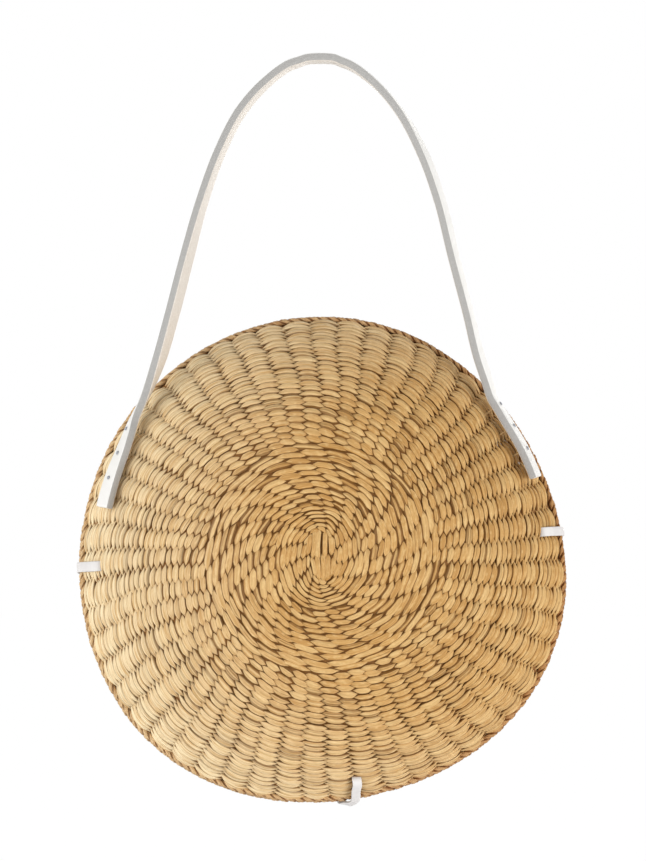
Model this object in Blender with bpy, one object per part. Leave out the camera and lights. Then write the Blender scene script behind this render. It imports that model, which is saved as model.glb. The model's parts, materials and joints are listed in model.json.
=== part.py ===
# Raffia top-handle bag: two domed, woven halves laced rim to rim and carried by one leather strap.
# Units are metres. +Z is up and the front of the bag faces -Y.
# The origin is on the underside of the strap's crown, where a hook or a hand carries the bag.

import math

import bmesh
import bpy
from mathutils import Matrix, Vector

# Woven halves. The rings of faces lie closer together toward the rim.
shell_radius = 0.1605
shell_wall = 0.005
dome_height = 0.072
dome_power = 3.5
shell_sectors = 48
shell_rings = 12
ring_crowding = 0.8

# Braided border rope along each rim
rope_diameter = 0.007
rope_sides = 8

# Clearances
seat_gap = 0.0003
hole_clearance = 0.0003
cut_overrun = 0.003

# How the bag hangs: the crown's height above the rim, and the bag's lean back from upright
strap_rise = 0.164
hang_tilt = math.radians(7.5)

# Strap: one thick band, riveted on the front half's shoulder at both ends. Each seat follows
# the rim up to the middle rivet, and from there runs straight as seen from the front. The stiff
# leather stands a little steeper than the straw under it, by a tilt that grows up the seat.
strap_width = 0.012
strap_thickness = 0.0054
strap_seat_insets = {"left": 0.0211, "right": 0.0184}
strap_seat_steepness = {"left": math.radians(66), "right": math.radians(59)}
strap_tail_tilts = {"left": math.radians(0), "right": math.radians(17)}
strap_lead_tilts = {"left": math.radians(26), "right": math.radians(22)}
strap_tail = 0.0187
strap_lead = 0.005
strap_step = 0.006
crown_flat = 0.014

# Free legs of the strap, from the seat's end to the crown: the way in toward the middle and
# the way up, both as shares, and the twist in degrees that shows the outer face
leg_inward_shares = {
    "left": (0.060, 0.138, 0.204, 0.284, 0.364, 0.460, 0.571, 0.712, 0.828),
    "right": (0.030, 0.074, 0.137, 0.224, 0.303, 0.408, 0.540, 0.696, 0.827),
}
leg_upward_shares = {
    "left": (0.067, 0.172, 0.292, 0.454, 0.607, 0.745, 0.855, 0.937, 0.981),
    "right": (0.051, 0.115, 0.244, 0.417, 0.581, 0.727, 0.845, 0.933, 0.980),
}
leg_twists = {
    "left": (2, -19, -24, -23, -15, -12, -10, -6, -3),
    "right": (22, 21, 19, 21, 22, 21, 12, 7, 3),
}

# The strap bends at this share of its way up
swing_upward_share = 0.07

# Rivets, three at each end: angle of the middle one, counted from +X towards +Z
rivet_pitch = 0.0164
rivet_angles = {"left": math.radians(153.8), "right": math.radians(33.5)}
rivet_shank_diameter = 0.0016
rivet_head_diameter = 0.0026
rivet_head_height = 0.0007
rivet_burr_diameter = 0.004
rivet_burr_height = 0.0008
rivet_sides = 12

# Leather backing inside the front half, behind each row of rivets
backing_width = 0.014
backing_thickness = 0.0022
backing_tail = 0.009

# Leather laces that tie the halves together over the rims
lace_width = 0.0066
lace_thickness = 0.0026
lace_hole_inset = 0.0165
lace_hole_clearance = 0.0007
lace_bow = 0.0016
lace_spare = 0.014
lace_step = 0.003
lace_side_angles = {"left": math.radians(182.7), "right": math.radians(6.4)}
bottom_lace_front_angle = math.radians(277.7)
bottom_lace_back_angle = math.radians(272.6)
bottom_lace_slack = 0.0042
rope_slack_share = 0.7

# Knot at each end of a lace: where its sections lie along it, and how they swell
knot_length = 0.009
knot_place_shares = (0.25, 0.5, 0.75, 1.0)
knot_swell_shares = (1.6, 2.0, 1.6, 0.9)

# Colours as seen in daylight, with roughness
straw_colour = (0.63, 0.43, 0.20, 1.0)
straw_roughness = 0.75
border_colour = (0.50, 0.31, 0.13, 1.0)
leather_colour = (0.82, 0.81, 0.78, 1.0)
leather_roughness = 0.5
backing_colour = (0.70, 0.64, 0.55, 1.0)
metal_colour = (0.42, 0.43, 0.45, 1.0)
metal_roughness = 0.35

smooth_angle = math.radians(35)

# Sides of the bag along Y, and of its strap's tails along the rim
front = -1
back = 1
tail_directions = {"left": 1, "right": -1}

# Sizes that follow from those above
rope_radius = rope_diameter / 2
rim_slope = math.atan(dome_power * dome_height / shell_radius)
shell_inner_radius = shell_radius - shell_wall / math.sin(rim_slope)
rope_ring_radius = (shell_radius + shell_inner_radius) / 2
rope_offset = rope_radius + seat_gap / 2
edge_offset = 2 * rope_radius + 1.5 * seat_gap
rim_reach = rope_ring_radius + rope_radius
facet_sag = shell_radius * (1 - math.cos(math.pi / shell_sectors))
seat_clearance = seat_gap + facet_sag / 2
seat_start = -(rivet_pitch + strap_tail)
seat_finish = rivet_pitch + strap_lead
backing_gap = seat_gap + facet_sag
backing_bottom = -(shell_wall + backing_gap + backing_thickness)
lace_hole_radius = shell_radius - lace_hole_inset
lace_lift = seat_gap + lace_thickness / 2
bag_centre = Vector((0, 0, -(rim_reach + strap_rise)))

# The bag's own frame: origin in the middle of the seam, leaned back about X as it hangs
hang_matrix = Matrix.Translation(bag_centre) @ Matrix.Rotation(-hang_tilt, 4, "X")


def clear_scene():
    for item in list(bpy.data.objects):
        bpy.data.objects.remove(item, do_unlink=True)


def make_material(name, colour, roughness, metallic=0.0):
    material = bpy.data.materials.new(name)
    material.use_nodes = True
    shader = material.node_tree.nodes["Principled BSDF"]
    shader.inputs["Base Color"].default_value = colour
    shader.inputs["Roughness"].default_value = roughness
    shader.inputs["Metallic"].default_value = metallic
    material.diffuse_color = colour
    return material


# Geometry of the dome

def dome_depth(radius):
    return dome_height * (1 - (radius / shell_radius) ** dome_power)


def dome_slope(radius):
    steepness = dome_power * dome_height / shell_radius
    return math.atan(steepness * (radius / shell_radius) ** (dome_power - 1))


def radial(angle):
    return Vector((math.cos(angle), 0, math.sin(angle)))


def shell_normal(angle, radius, side=front):
    slope = dome_slope(radius)
    return radial(angle) * math.sin(slope) + Vector((0, side * math.cos(slope), 0))


def shell_to_rim(angle, radius, side=front):
    slope = dome_slope(radius)
    return radial(angle) * math.cos(slope) - Vector((0, side * math.sin(slope), 0))


def shell_point(angle, radius, lift=0.0, side=front):
    """A point above the woven surface by lift, in the bag's own frame."""
    depth = side * (edge_offset + dome_depth(radius))
    surface = radial(angle) * radius + Vector((0, depth, 0))
    return surface + shell_normal(angle, radius, side) * lift


# Path of the strap

def seat_line(end, reach):
    """Angle and radius of the seat's centre line, at a reach past the middle rivet."""
    angle = rivet_angles[end]
    radius = shell_radius - strap_seat_insets[end]
    toward_tail = tail_directions[end]
    if reach < 0:
        return angle - toward_tail * reach / radius, radius
    steepness = strap_seat_steepness[end]
    rise = Vector((toward_tail * math.cos(steepness), 0, math.sin(steepness)))
    place = radial(angle) * radius + rise * reach
    return math.atan2(place.z, place.x), place.length


def seat_tilt(end, reach):
    """How much steeper than the straw the strap stands, at a reach past the middle rivet."""
    share = ((reach - seat_start) / (seat_finish - seat_start)) ** 2
    return strap_tail_tilts[end] * (1 - share) + strap_lead_tilts[end] * share


def seat_frame(end, reach):
    """A point of the seat's centre line on the straw, and the strap's outward direction there."""
    angle, radius = seat_line(end, reach)
    point = shell_point(angle, radius)
    normal = shell_normal(angle, radius)
    along = shell_point(*seat_line(end, reach + strap_step)) - point
    rimward = normal.cross(along).normalized() * tail_directions[end]
    tilt = seat_tilt(end, reach)
    return point, normal * math.cos(tilt) + rimward * math.sin(tilt)


def seat_height(end, reach):
    """Height of the strap's middle along its outward direction. Its rimward edge is seated."""
    tilt = seat_tilt(end, reach)
    edge_rise = strap_width / 2 * math.tan(tilt)
    return strap_thickness / 2 + edge_rise + seat_clearance / math.cos(tilt)


def seat_place(end, reach):
    """Middle of the strap on its seat, in the bag's own frame."""
    point, outward = seat_frame(end, reach)
    return point + outward * seat_height(end, reach)


def seat_end(end):
    """Where the strap leaves its seat, in the world."""
    return hang_matrix @ seat_place(end, seat_finish)


def leg_place(end, inward, upward):
    """A place on a leg, from its seat's end to the crown. The leg leans back in a flat plane."""
    foot = seat_end(end)
    height = foot.z + (strap_thickness / 2 - foot.z) * upward
    return Vector((foot.x * (1 - inward), foot.y * (1 - upward), height))


# Joint axes, both along X. The strap bends just above its seats. The halves part about the
# lowest point of the seam.
swing_places = [leg_place(end, 0, swing_upward_share) for end in rivet_angles]
swing_pivot_world = (swing_places[0] + swing_places[1]) / 2
swing_pivot_world.x = 0
swing_pivot = hang_matrix.inverted() @ swing_pivot_world
mouth_pivot = Vector((0, 0, -rim_reach))


# Mesh building

def mesh_object(name, bm, material, parent=None, pivot=None):
    bmesh.ops.recalc_face_normals(bm, faces=bm.faces)
    mesh = bpy.data.meshes.new(name)
    bm.to_mesh(mesh)
    bm.free()
    mesh.materials.append(material)
    mesh.shade_smooth()
    mesh.set_sharp_from_angle(angle=smooth_angle)
    item = bpy.data.objects.new(name, mesh)
    bpy.context.collection.objects.link(item)
    if parent is not None:
        item.parent = parent
        item.location = -pivot
    return item


def make_empty(name, location, rotation_x=0.0, parent=None):
    empty = bpy.data.objects.new(name, None)
    empty.location = location
    empty.rotation_euler = (rotation_x, 0, 0)
    empty.parent = parent
    bpy.context.collection.objects.link(empty)
    return empty


def turned_body(bm, profile, sectors, closed=False):
    """Turns (radius, height) points about Z. A zero radius makes a pole."""
    rings = []
    for radius, height in profile:
        if radius == 0:
            rings.append([bm.verts.new((0, 0, height))])
            continue
        ring = []
        for k in range(sectors):
            angle = 2 * math.pi * k / sectors
            ring.append(bm.verts.new((radius * math.cos(angle), radius * math.sin(angle), height)))
        rings.append(ring)
    pairs = list(zip(rings, rings[1:]))
    if closed:
        pairs.append((rings[-1], rings[0]))
    for lower, upper in pairs:
        for k in range(sectors):
            after = (k + 1) % sectors
            corners = [lower[k % len(lower)], lower[after % len(lower)]]
            corners += [upper[after % len(upper)], upper[k % len(upper)]]
            bm.faces.new(list(dict.fromkeys(corners)))


def swept_band(bm, sections, half_width, half_thickness):
    """A band of rectangular section. Each section is (centre, outward, across, scale)."""
    corner_signs = ((-1, -1), (1, -1), (1, 1), (-1, 1))
    rings = []
    for centre, outward, across, scale in sections:
        ring = []
        for across_sign, outward_sign in corner_signs:
            offset = across * (across_sign * half_width * scale)
            offset = offset + outward * (outward_sign * half_thickness * scale)
            ring.append(bm.verts.new(centre + offset))
        rings.append(ring)
    for first, second in zip(rings, rings[1:]):
        for k in range(len(corner_signs)):
            after = (k + 1) % len(corner_signs)
            bm.faces.new((first[k], first[after], second[after], second[k]))
    bm.faces.new(rings[0])
    bm.faces.new(list(reversed(rings[-1])))


def station_changes(values, gaps):
    """Change per metre at each station, weighed from the runs on its two sides."""
    slopes = [(after - before) / gap for before, after, gap in zip(values, values[1:], gaps)]
    changes = [slopes[0]]
    for k in range(1, len(slopes)):
        weighed = slopes[k - 1] * gaps[k] + slopes[k] * gaps[k - 1]
        changes.append(weighed / (gaps[k - 1] + gaps[k]))
    changes.append(slopes[-1])
    return changes


def curve_value(values, changes, gaps, k, share):
    """Cubic between stations k and k + 1."""
    cube = share ** 3
    square = share ** 2
    value = values[k] * (2 * cube - 3 * square + 1)
    value = value + values[k + 1] * (3 * square - 2 * cube)
    value = value + changes[k] * (gaps[k] * (cube - 2 * square + share))
    return value + changes[k + 1] * (gaps[k] * (cube - square))


def smooth_run(stations, step):
    """Points and outward directions along a smooth curve through (point, outward) stations."""
    places = [place for place, _ in stations]
    normals = [normal for _, normal in stations]
    gaps = [(after - before).length for before, after in zip(places, places[1:])]
    place_changes = station_changes(places, gaps)
    normal_changes = station_changes(normals, gaps)
    points = []
    outwards = []
    for k, gap in enumerate(gaps):
        count = max(1, round(gap / step))
        for j in range(count):
            points.append(curve_value(places, place_changes, gaps, k, j / count))
            outwards.append(curve_value(normals, normal_changes, gaps, k, j / count).normalized())
    points.append(places[-1].copy())
    outwards.append(normals[-1].copy())
    return points, outwards


def band_sections(points, outwards, scales=None):
    """Square sections along the points, facing the outward directions."""
    sections = []
    last = len(points) - 1
    for k, centre in enumerate(points):
        along = (points[min(k + 1, last)] - points[max(k - 1, 0)]).normalized()
        outward = (outwards[k] - along * outwards[k].dot(along)).normalized()
        across = along.cross(outward)
        scale = scales[k] if scales else 1.0
        sections.append((centre, outward, across, scale))
    return sections


def apply_cutters(item, cutters):
    """Cuts each cutter out of the item, and removes the cutters."""
    for cutter in cutters:
        cutter.hide_render = True
        cutter.display_type = "WIRE"
        modifier = item.modifiers.new("cut", "BOOLEAN")
        modifier.operation = "DIFFERENCE"
        modifier.object = cutter
    bpy.context.view_layer.update()
    graph = bpy.context.evaluated_depsgraph_get()
    cut = bpy.data.meshes.new_from_object(item.evaluated_get(graph))
    item.modifiers.clear()
    item.data = cut
    cut.shade_smooth()
    cut.set_sharp_from_angle(angle=smooth_angle)
    for cutter in cutters:
        bpy.data.objects.remove(cutter, do_unlink=True)


# Woven halves and their border ropes

def half_profile():
    """Outer skin from the middle to the rim, then the inner skin back to the middle."""
    outer = []
    inner = []
    for k in range(shell_rings + 1):
        radius = shell_radius * math.sin(math.pi / 2 * k / shell_rings) ** ring_crowding
        slope = dome_slope(radius)
        height = edge_offset + dome_depth(radius)
        outer.append((radius, height))
        inner_height = height - shell_wall * math.cos(slope)
        if inner_height > edge_offset + shell_wall / 2:
            inner.append((max(radius - shell_wall * math.sin(slope), 0), inner_height))
    inner.append((shell_inner_radius, edge_offset))
    return outer + list(reversed(inner))


def make_half(name, side, material, parent, pivot):
    bm = bmesh.new()
    turned_body(bm, half_profile(), shell_sectors)
    bmesh.ops.rotate(bm, verts=bm.verts, matrix=Matrix.Rotation(-side * math.pi / 2, 3, "X"))
    return mesh_object(name, bm, material, parent, pivot)


def make_rope(name, side, material, parent, pivot):
    bm = bmesh.new()
    profile = []
    for k in range(rope_sides):
        angle = 2 * math.pi * (k + 0.5) / rope_sides
        radius = rope_ring_radius + rope_radius * math.cos(angle)
        profile.append((radius, rope_offset + rope_radius * math.sin(angle)))
    turned_body(bm, profile, shell_sectors, closed=True)
    bmesh.ops.rotate(bm, verts=bm.verts, matrix=Matrix.Rotation(-side * math.pi / 2, 3, "X"))
    return mesh_object(name, bm, material, parent, pivot)


# Rivets and what they hold. The first rivet of each end is the upper one.

rivet_reaches = (rivet_pitch, 0, -rivet_pitch)


def rivet_matrix(end, reach):
    """Z square to the strap, with zero on the woven surface."""
    point, outward = seat_frame(end, reach)
    return Matrix.Translation(point) @ outward.to_track_quat("Z", "X").to_matrix().to_4x4()


def rivet_grip(end, reach):
    """Heights of the faces that a rivet holds together: under its burr and under its head."""
    tilt = seat_tilt(end, reach)
    burr_drop = rivet_burr_diameter / 2 * math.sin(tilt)
    burr_top = (backing_bottom - burr_drop) / math.cos(tilt) - seat_gap
    head_foot = seat_height(end, reach) + strap_thickness / 2 + seat_gap
    return burr_top, head_foot


def make_rivet(name, end, reach, material, parent, pivot):
    bm = bmesh.new()
    burr_top, head_foot = rivet_grip(end, reach)
    shank = rivet_shank_diameter / 2
    head = rivet_head_diameter / 2
    burr = rivet_burr_diameter / 2
    profile = [(0, burr_top - rivet_burr_height), (burr, burr_top - rivet_burr_height)]
    profile += [(burr, burr_top), (shank, burr_top), (shank, head_foot), (head, head_foot)]
    profile += [(head, head_foot + rivet_head_height / 2), (shank, head_foot + rivet_head_height)]
    profile += [(0, head_foot + rivet_head_height)]
    turned_body(bm, profile, rivet_sides)
    bmesh.ops.transform(bm, verts=bm.verts, matrix=rivet_matrix(end, reach))
    return mesh_object(name, bm, material, parent, pivot)


def rivet_cutter(end, reach):
    bm = bmesh.new()
    radius = rivet_shank_diameter / 2 + hole_clearance
    burr_top, head_foot = rivet_grip(end, reach)
    low = burr_top - cut_overrun
    high = head_foot + cut_overrun
    turned_body(bm, [(0, low), (radius, low), (radius, high), (0, high)], rivet_sides)
    bmesh.ops.transform(bm, verts=bm.verts, matrix=hang_matrix @ rivet_matrix(end, reach))
    return mesh_object("rivet_cutter", bm, bpy.data.materials["Straw"])


def make_backing(name, end, material, parent, pivot):
    lift = backing_bottom + backing_thickness / 2
    reach = rivet_pitch + backing_tail
    steps = round(2 * reach / strap_step)
    points = []
    outwards = []
    for k in range(steps + 1):
        angle, radius = seat_line(end, reach * (2 * k / steps - 1))
        points.append(shell_point(angle, radius, lift))
        outwards.append(shell_normal(angle, radius))
    bm = bmesh.new()
    swept_band(bm, band_sections(points, outwards), backing_width / 2, backing_thickness / 2)
    item = mesh_object(name, bm, material, parent, pivot)
    apply_cutters(item, [rivet_cutter(end, place) for place in rivet_reaches])
    return item


# Strap

def seated_stations(end):
    """Stations in the world from the tail, past the three rivets, to where the strap lifts off."""
    steps = round((seat_finish - seat_start) / strap_step)
    turn = hang_matrix.to_3x3()
    stations = []
    for k in range(steps + 1):
        reach = seat_start + (seat_finish - seat_start) * k / steps
        outward = seat_frame(end, reach)[1]
        stations.append((hang_matrix @ seat_place(end, reach), turn @ outward))
    return stations


def leg_stations(end):
    """Free stations in the world, from past the seat's end to the crown."""
    side_sign = -tail_directions[end]
    crown = Vector((side_sign * crown_flat / 2, 0, strap_thickness / 2))
    places = [seat_end(end)]
    for inward, upward in zip(leg_inward_shares[end], leg_upward_shares[end]):
        places.append(leg_place(end, inward, upward))
    places.append(crown)
    stations = []
    for k, degrees in enumerate(leg_twists[end], start=1):
        rise = (places[k + 1] - places[k - 1]).normalized()
        outward = Vector((side_sign * rise.z, 0, -side_sign * rise.x)).normalized()
        twist = math.radians(degrees)
        facing = outward * math.cos(twist) + Vector((0, front, 0)) * math.sin(twist)
        stations.append((places[k], facing))
    stations.append((crown, Vector((0, 0, 1))))
    return stations


def strap_sections():
    left = seated_stations("left") + leg_stations("left")
    right = seated_stations("right") + leg_stations("right")
    left_points, left_outwards = smooth_run(left, strap_step)
    right_points, right_outwards = smooth_run(right, strap_step)
    points = left_points + list(reversed(right_points))
    outwards = left_outwards + list(reversed(right_outwards))
    sections = band_sections(points, outwards)
    # The two crown sections stand square, so the underside between them is level
    for k in (len(left_points) - 1, len(left_points)):
        sections[k] = (points[k], Vector((0, 0, 1)), Vector((0, front, 0)), 1.0)
    return sections


def make_strap(material):
    bm = bmesh.new()
    swept_band(bm, strap_sections(), strap_width / 2, strap_thickness / 2)
    item = mesh_object("strap", bm, material)
    cutters = []
    for end in rivet_angles:
        cutters += [rivet_cutter(end, place) for place in rivet_reaches]
    apply_cutters(item, cutters)
    return item


# Laces

def lace_run(angle, side):
    """Stations from the seam over one rim, through the wall and in to the knot."""
    out = radial(angle)
    hole = lace_hole_radius
    normal = shell_normal(angle, hole, side)
    to_rim = shell_to_rim(angle, hole, side)
    rim_normal = (shell_normal(angle, shell_radius, side) + out).normalized()
    rope_centre = out * rope_ring_radius + Vector((0, side * rope_offset, 0))
    over_rope = rope_centre + rim_normal * (rope_radius + lace_lift + lace_bow)
    middle = (hole + shell_radius) / 2
    lift = lace_lift + seat_gap
    over_hole = shell_point(angle, hole, lift, side) + to_rim * lace_thickness
    stations = [(out * (rim_reach + lace_lift + lace_bow / 2), out)]
    stations.append((over_rope, rim_normal))
    stations.append((shell_point(angle, middle, lift, side), shell_normal(angle, middle, side)))
    stations.append((over_hole, (2 * normal + to_rim).normalized()))
    for depth in (0, shell_wall, shell_wall + lace_spare / 2, shell_wall + lace_spare):
        stations.append((shell_point(angle, hole, -depth, side), to_rim))
    return stations


def bottom_lace_run(angle, side):
    """As a side lace, but hanging slack below the rim."""
    run = lace_run(angle, side)
    middle = radial((bottom_lace_front_angle + bottom_lace_back_angle) / 2)
    run[0] = (middle * (rim_reach + lace_lift + bottom_lace_slack), middle)
    over_rope, rim_normal = run[1]
    drop = radial(angle) * (bottom_lace_slack * rope_slack_share)
    run[1] = (over_rope + drop, rim_normal)
    return run


def knot_run(points, outwards):
    """Swollen sections that carry on past the first point."""
    along = (points[0] - points[1]).normalized()
    run = []
    for place, swell in zip(knot_place_shares, knot_swell_shares):
        run.append((points[0] + along * knot_length * place, outwards[0], swell))
    return run


def lace_sections(front_run, back_run):
    points, outwards = smooth_run(list(reversed(back_run)) + front_run, lace_step)
    plain = [(point, outward, 1.0) for point, outward in zip(points, outwards)]
    back_knot = list(reversed(knot_run(points, outwards)))
    front_knot = knot_run(points[::-1], outwards[::-1])
    run = back_knot + plain + front_knot
    return band_sections([row[0] for row in run], [row[1] for row in run], [row[2] for row in run])


def make_lace(name, front_run, back_run, material, parent, pivot):
    bm = bmesh.new()
    swept_band(bm, lace_sections(front_run, back_run), lace_width / 2, lace_thickness / 2)
    return mesh_object(name, bm, material, parent, pivot)


def lace_cutter(angle, side):
    """A box through the wall, wide enough for the flat lace."""
    bm = bmesh.new()
    bmesh.ops.create_cube(bm, size=1)
    width = lace_width + 2 * lace_hole_clearance
    height = lace_thickness + 2 * lace_hole_clearance
    depth = shell_wall + 2 * cut_overrun
    normal = shell_normal(angle, lace_hole_radius, side)
    to_rim = shell_to_rim(angle, lace_hole_radius, side)
    across = normal.cross(to_rim)
    axes = Matrix((across * width, to_rim * height, normal * depth)).transposed().to_4x4()
    centre = shell_point(angle, lace_hole_radius, -shell_wall / 2, side)
    bmesh.ops.transform(bm, verts=bm.verts, matrix=hang_matrix @ Matrix.Translation(centre) @ axes)
    return mesh_object("lace_cutter", bm, bpy.data.materials["Straw"])


def main():
    clear_scene()
    straw = make_material("Straw", straw_colour, straw_roughness)
    border = make_material("Straw border", border_colour, straw_roughness)
    leather = make_material("White leather", leather_colour, leather_roughness)
    backing = make_material("Leather backing", backing_colour, leather_roughness)
    metal = make_material("Rivet metal", metal_colour, metal_roughness, 1.0)

    front_half = make_empty("front_half", swing_pivot_world, -hang_tilt)
    back_half = make_empty("back_half", mouth_pivot - swing_pivot, 0.0, front_half)
    bpy.context.view_layer.update()

    front_shell = make_half("front_shell", front, straw, front_half, swing_pivot)
    back_shell = make_half("back_shell", back, straw, back_half, mouth_pivot)
    make_rope("front_rim_braid", front, border, front_half, swing_pivot)
    make_rope("back_rim_braid", back, border, back_half, mouth_pivot)

    front_lace_angles = list(lace_side_angles.values()) + [bottom_lace_front_angle]
    back_lace_angles = list(lace_side_angles.values()) + [bottom_lace_back_angle]
    front_cutters = [lace_cutter(angle, front) for angle in front_lace_angles]
    for end in rivet_angles:
        front_cutters += [rivet_cutter(end, place) for place in rivet_reaches]
    apply_cutters(front_shell, front_cutters)
    apply_cutters(back_shell, [lace_cutter(angle, back) for angle in back_lace_angles])

    make_strap(leather)
    for end in rivet_angles:
        make_backing(f"strap_backing_{end}", end, backing, front_half, swing_pivot)
        for number, place in enumerate(rivet_reaches, start=1):
            make_rivet(f"strap_rivet_{end}_{number}", end, place, metal, front_half, swing_pivot)

    for end, angle in lace_side_angles.items():
        runs = (lace_run(angle, front), lace_run(angle, back)[1:])
        make_lace(f"side_lace_{end}", *runs, leather, front_half, swing_pivot)
    front_run = bottom_lace_run(bottom_lace_front_angle, front)
    back_run = bottom_lace_run(bottom_lace_back_angle, back)[1:]
    make_lace("bottom_lace", front_run, back_run, leather, front_half, swing_pivot)


main()
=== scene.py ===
import json
import math

import bmesh
import bpy
import numpy as np
from mathutils import Matrix, Vector


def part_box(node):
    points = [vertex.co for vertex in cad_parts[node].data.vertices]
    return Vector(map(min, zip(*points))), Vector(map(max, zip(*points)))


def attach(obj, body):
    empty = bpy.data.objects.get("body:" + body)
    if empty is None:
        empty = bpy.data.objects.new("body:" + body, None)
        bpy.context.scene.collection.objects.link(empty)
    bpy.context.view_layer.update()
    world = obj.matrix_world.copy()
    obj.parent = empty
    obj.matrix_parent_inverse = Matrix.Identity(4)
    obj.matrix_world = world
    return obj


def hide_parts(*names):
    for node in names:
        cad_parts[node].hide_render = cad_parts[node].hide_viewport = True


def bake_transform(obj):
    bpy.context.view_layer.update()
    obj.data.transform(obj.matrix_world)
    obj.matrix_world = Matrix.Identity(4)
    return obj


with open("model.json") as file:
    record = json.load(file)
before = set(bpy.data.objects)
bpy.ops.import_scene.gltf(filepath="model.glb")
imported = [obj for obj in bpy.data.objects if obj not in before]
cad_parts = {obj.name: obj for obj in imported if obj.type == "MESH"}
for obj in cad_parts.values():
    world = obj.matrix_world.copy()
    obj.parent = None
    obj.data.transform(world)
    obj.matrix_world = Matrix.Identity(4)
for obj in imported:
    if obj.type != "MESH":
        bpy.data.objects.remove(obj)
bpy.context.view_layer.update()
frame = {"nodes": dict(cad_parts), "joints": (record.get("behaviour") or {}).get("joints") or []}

# Shape of the woven halves, as in the CAD model
shell_radius = 0.1605
shell_wall = 0.005
dome_height = 0.072
dome_power = 3.5
edge_offset = 0.00745
hang_tilt = math.radians(7.5)
rim_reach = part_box("front_rim_braid")[1].x
rope_ring_radius = 0.15754
rope_radius = 0.0035
seat_gap = 0.0003

# Tables along the dome, which reach a little past the rim, and what keeps a radius off zero
table_size = 3001
table_overrun = 1.02
tiny = 1e-9

# The two halves, by the side of the seam on which they lie
front = -1
back = 1
half_names = {front: "front", back: "back"}

# Radii at which the zones of the weave start, and at which its last row ends
core_radius = 0.0126
middle_radius = 0.0305
shoulder_radius = 0.0722
last_row_radius = 0.1584

# The rows' middle lies a little low. The first rows are taller than wide: their stretch peaks at
# one radius, ends at another and spreads them left and right of the start.
weave_drop = 0.0049
first_rows_stretch = 0.30
stretch_peak_radius = 0.0135
stretch_end_radius = shoulder_radius
first_rows_spread = 2 * first_rows_stretch * stretch_peak_radius / (stretch_end_radius - stretch_peak_radius)

# Slow unevenness of the weave: its greatest turn and shift, its waves (crests round the bag, growth
# to a metre of radius, phase), and the radii where it fades in and out
wobble_angle = math.radians(0.9)
wobble_arc = 0.0009
wobble_turn_waves = ((3, 55, 0.7), (7, -80, 2.1))
wobble_shift_waves = ((4, 70, 1.3), (9, 130, 0.0))
wobble_start = 0.05
wobble_end = 0.165
wobble_end_fade = 0.03

# The outline isn't quite round: how far each wave of it reaches in or out at the rim, how many
# crests it has and the angle of one of them in degrees
outline_inset = 0.0008
outline_waves = ((0.0014, 1, -88), (0.0024, 3, -22), (0.0011, 4, -29))

# Each zone: the names and seeds of its pieces, which share its rows, its first row, the radii
# where it starts and ends, its rows and columns, the columns' turn in degrees from row to row, how
# many columns a stitch spans, the share of it that has its full width, how far that fills the row,
# how deep the ends dive at the zone's start and end, and the least and most depth of its grooves
zones = (
    {
        "names": ("core",), "first_row": -1, "radii": (core_radius, middle_radius), "rows": 6,
        "seeds": (100,), "columns": 13, "turn": 3.6, "span": 1.34, "flat": 0.46,
        "fill": 1.20, "dives": (0.0002, 0.0003), "grooves": (0.10, 0.35),
    },
    {
        "names": ("middle",), "first_row": 0, "radii": (middle_radius, shoulder_radius), "rows": 10,
        "seeds": (110,), "columns": 27, "turn": 3.3, "span": 1.42, "flat": 0.48,
        "fill": 1.27, "dives": (0.0002, 0.0004), "grooves": (0.10, 0.40),
    },
    {
        "names": ("shoulder", "flank"), "first_row": 0, "radii": (shoulder_radius, last_row_radius),
        "seeds": (120, 124), "rows": 25, "columns": 54, "turn": 0.1, "span": 1.42, "flat": 0.36,
        "fill": 1.08, "dives": (0.0008, 0.0036), "grooves": (0.20, 0.58),
    },
)

# Stitches outside, and the thinner ones of the lining. The spiral starts half a row early.
first_spiral = -0.5
stitch_thickness = 0.0031
stitch_segments = 12
stitch_sides = 12
dive_power = 1.8
dive_growth = 0.7
lining_thickness = 0.0013
lining_dive = 0.0009
lining_segments = 6
lining_sides = 6
end_thickness_share = 0.3

# Scatter: of columns, rows and a stitch's place in its row as shares of their step, of its slant,
# span, thickness and width as shares of these, and of its height in metres
column_scatter = 0.02
row_scatter = 0.04
place_scatter = 0.035
slant_scatter = 0.12
span_scatter = 0.05
thickness_scatter = 0.06
width_scatter = 0.06
peak_scatter = 0.00008

# Grooves between a strand's cords, in radians round it: their width, how far two of them lie from
# its crest and how that scatters, and the share of the strands that have one groove on the crest
groove_width = 0.34
groove_place = math.radians(30)
groove_scatter = 0.25
one_groove_share = 0.5

# Where the painted shade of the gaps starts, as a share of the height at which strands meet, how
# much painted light makes the straw paler to the rim and to the left, and how far strands lie apart
# in the pattern of fibres
gap_shade_share = 0.93
rim_painted_light = 0.8
left_painted_light = 0.65
stitch_pattern_spread = 7
ring_pattern_shifts = (1, 6)

# The layer of rods and strand ends between the stitches: how deep it lies in the middle and in the
# flank, how far short of the rim it ends, and how its rings crowd there
flank_start = shoulder_radius
flank_finish = 0.122
rod_layer_depths = (0.0020, 0.0035)
rod_layer_inset = 0.0012
rod_layer_crowding = 0.8
rod_layer_sectors = 216
rod_layer_rings = 60

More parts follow.
